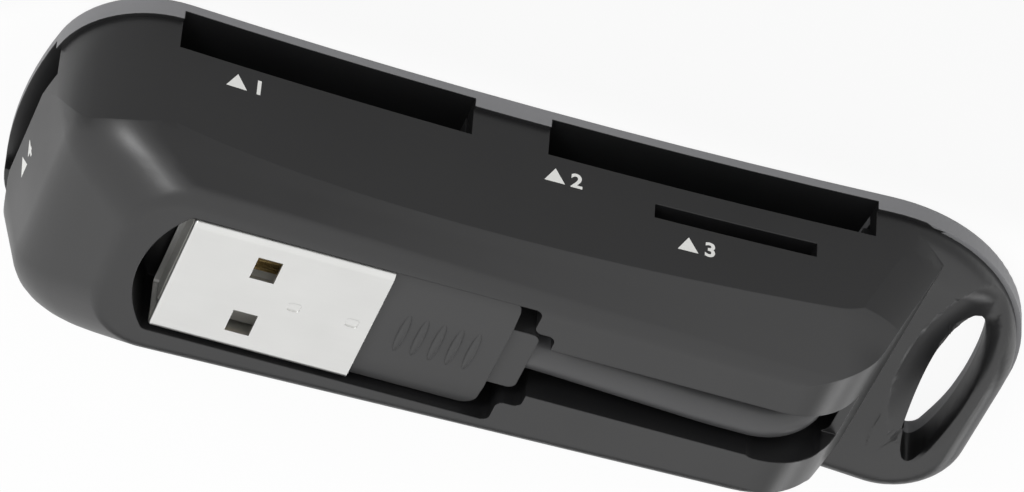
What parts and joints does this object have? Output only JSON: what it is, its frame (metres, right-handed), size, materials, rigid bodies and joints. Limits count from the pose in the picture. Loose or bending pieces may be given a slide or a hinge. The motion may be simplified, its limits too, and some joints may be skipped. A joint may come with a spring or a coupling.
{
  "type": "memory card reader",
  "caption": "Pocket memory card reader: waisted two-shell body with card slots in a long side and an end, a key-ring loop, and a plug on a short lead stowed in the front.",
  "frame": {"origin": "middle of the bounding box, on the flat back", "axes": "+X from the rounded end to the key-ring loop, +Y to the long side with the slots, +Z out of the front that holds the plug"},
  "size_m": [0.076, 0.0276, 0.0166],
  "materials": {
    "front_plastic": "satin black",
    "cover_plastic": "satin grey",
    "plug_steel": "bright nickel plate",
    "tongue_plastic": "matte white",
    "contact_metal": "gold plate",
    "grip_plastic": "fine grain black",
    "lead_plastic": "satin black",
    "wire_plastic": "plain",
    "board_laminate": "lacquered green",
    "socket_plastic": "matte black",
    "cover_steel": "plain sheet",
    "chip_plastic": "matte black",
    "solder_metal": "tinned",
    "can_steel": "drawn can",
    "capacitor_ceramic": "plain",
    "resistor_ceramic": "plain"
  },
  "bodies": {
    "root": {"front_shell": "front_plastic", "back_cover": "cover_plastic", "plug_shell": "plug_steel", "plug_tongue": "tongue_plastic", "plug_contacts": "contact_metal", "plug_grip": "grip_plastic", "lead_jacket": "lead_plastic", "lead_wires": "wire_plastic", "circuit_board": "board_laminate", "wide_card_socket": "socket_plastic", "wide_card_contacts": "contact_metal", "stick_card_socket": "socket_plastic", "stick_card_contacts": "contact_metal", "end_card_contacts": "contact_metal", "micro_card_socket": "socket_plastic", "micro_card_cover": "cover_steel", "micro_card_contacts": "contact_metal", "controller_chip": "chip_plastic", "chip_leads": "solder_metal", "crystal": "can_steel", "capacitors": "capacitor_ceramic", "resistors": "resistor_ceramic"}
  },
  "joints": []
}
